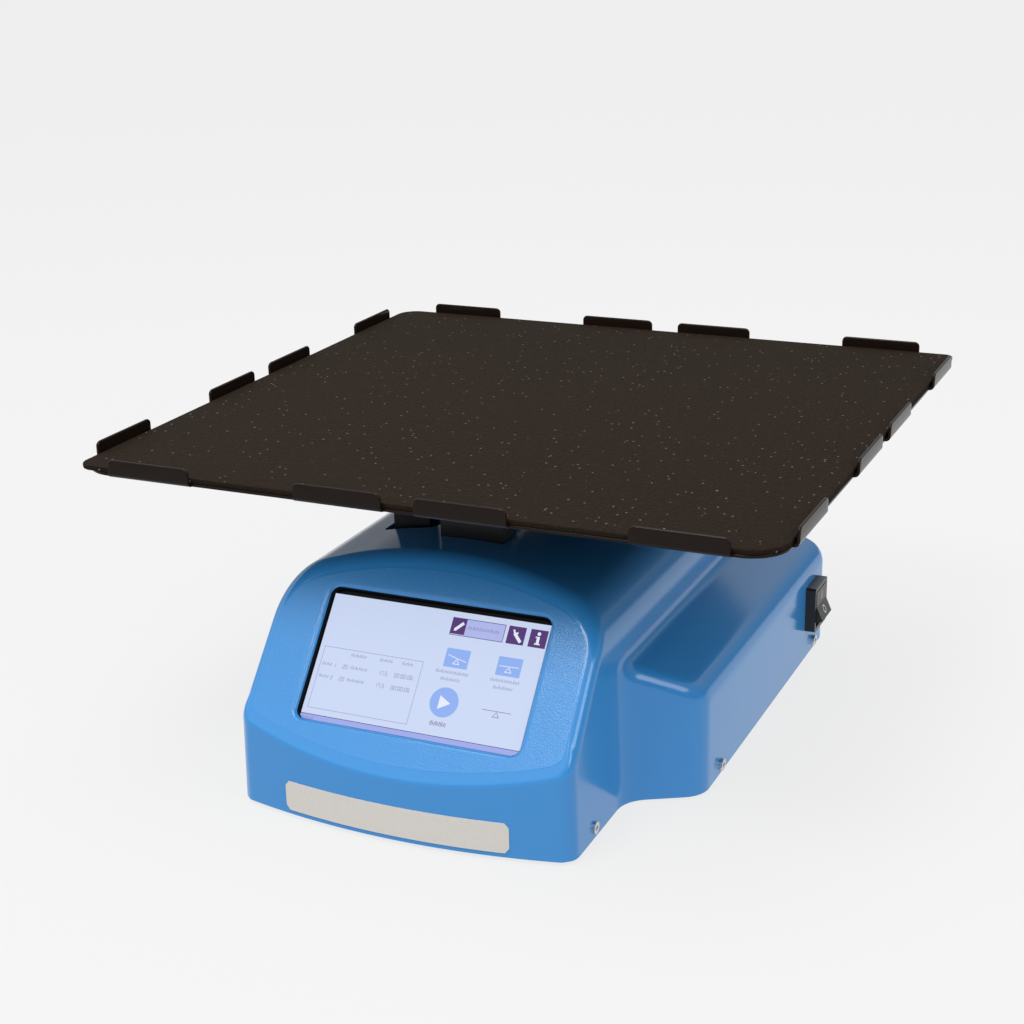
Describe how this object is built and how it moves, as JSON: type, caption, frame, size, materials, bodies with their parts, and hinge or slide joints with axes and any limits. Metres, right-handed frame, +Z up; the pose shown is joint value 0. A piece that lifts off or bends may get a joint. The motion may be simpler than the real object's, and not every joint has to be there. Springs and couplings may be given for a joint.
{
  "type": "rocking platform shaker",
  "caption": "Bench rocking shaker: a square rimmed tray with a rubber mat rocks on a shaft above a moulded blue housing with a sloped touch screen.",
  "frame": {"origin": "on the table, below the middle of the whole; the middle of the tray is 9.7 mm behind it", "axes": "+X to the right seen from the screen, +Y to the back, along the rocking axis, +Z up"},
  "size_m": [0.356, 0.3754, 0.1638],
  "materials": {
    "blue_plastic": "glossy, faintly orange-peeled; the panel round the screen is pebbled",
    "cream_plate": "satin, bare",
    "plated_steel": "zinc plated",
    "foot_rubber": "matt",
    "bright_steel": "bright plated",
    "black_foam": "matt foam",
    "screen_glass": "lit display behind clear glass",
    "circuit_board": "solder-masked board",
    "black_coat": "black powder coat",
    "bearing_steel": "ground",
    "gloss_black": "gloss black coat",
    "mat_rubber": "matt, finely dimpled",
    "bronze": "machined",
    "machined_aluminium": "machined",
    "black_plastic": "satin moulded",
    "belt_rubber": "matt",
    "motor_case": "black lacquer"
  },
  "bodies": {
    "base": {"housing_shell": "blue_plastic", "front_label": "cream_plate", "base_plate": "plated_steel", "rubber_feet": "foot_rubber", "foot_screws": "bright_steel", "foot_nuts": "bright_steel", "housing_screws": "bright_steel", "display_gasket": "black_foam", "touch_glass": "screen_glass", "display_module": "plated_steel", "display_carrier": "plated_steel", "display_screws": "bright_steel", "display_board": "circuit_board", "front_post": "black_coat", "rear_post": "black_coat", "post_screws": "bright_steel", "post_nuts": "bright_steel", "rocker_bearings": "bearing_steel", "crank_block": "machined_aluminium", "crank_bearings": "bearing_steel", "block_screws": "bright_steel", "sensor_bracket": "plated_steel", "sensor_screw": "bright_steel", "home_sensor": "black_plastic", "drive_belt": "belt_rubber", "stepper_motor": "motor_case", "motor_bracket": "plated_steel", "motor_screws": "bright_steel", "motor_foot_screws": "bright_steel", "controller_board": "circuit_board", "board_standoffs": "bronze", "board_screws": "bright_steel", "power_jack": "black_plastic", "jack_nut": "bright_steel", "switch_body": "black_plastic"},
    "rocking_tray": {"rocker_shaft": "bearing_steel", "front_tray_bracket": "black_coat", "rear_tray_bracket": "black_coat", "bracket_set_screws": "bright_steel", "lever_bracket": "black_coat", "upper_link_pin": "bright_steel", "tray_screws": "bright_steel", "tray_sheet": "gloss_black", "rubber_mat": "mat_rubber"},
    "crank": {"crank_arm": "machined_aluminium", "crank_pin": "bright_steel", "crank_shaft": "bearing_steel", "home_flag": "plated_steel", "driven_pulley": "machined_aluminium"},
    "link": {"link_bar": "black_coat", "link_bushes": "bronze"},
    "motor_rotor": {"motor_pulley": "machined_aluminium", "motor_shaft": "bearing_steel"},
    "rocker_switch": {"switch_rocker": "black_plastic"}
  },
  "joints": [
    {"name": "tray_rock", "type": "hinge", "parent": "base", "child": "rocking_tray", "pos_m": [0, 0.0097, 0.136], "axis": [0, 1, 0], "range_deg": [-20, 20]},
    {"name": "crank_turn", "type": "hinge", "parent": "base", "child": "crank", "pos_m": [0, -0.0403, 0.062], "axis": [0, 1, 0], "range_deg": [-20, 20]},
    {"name": "link_swing", "type": "hinge", "parent": "crank", "child": "link", "pos_m": [-0.04, -0.0733, 0.062], "axis": [0, 1, 0], "range_deg": [-20, 20]},
    {"name": "motor_spin", "type": "hinge", "parent": "base", "child": "motor_rotor", "pos_m": [0.048, -0.0103, 0.0462], "axis": [0, 1, 0], "range_deg": [-60, 60]},
    {"name": "switch_toggle", "type": "hinge", "parent": "base", "child": "rocker_switch", "pos_m": [0.1184, 0.0962, 0.0315], "axis": [0, 1, 0], "range_deg": [0, 24]}
  ],
  "couplings": [
    {"joint": "crank_turn", "follows": "tray_rock", "ratio": 1},
    {"joint": "link_swing", "follows": "tray_rock", "ratio": -1},
    {"joint": "motor_spin", "follows": "tray_rock", "ratio": 3}
  ]
}
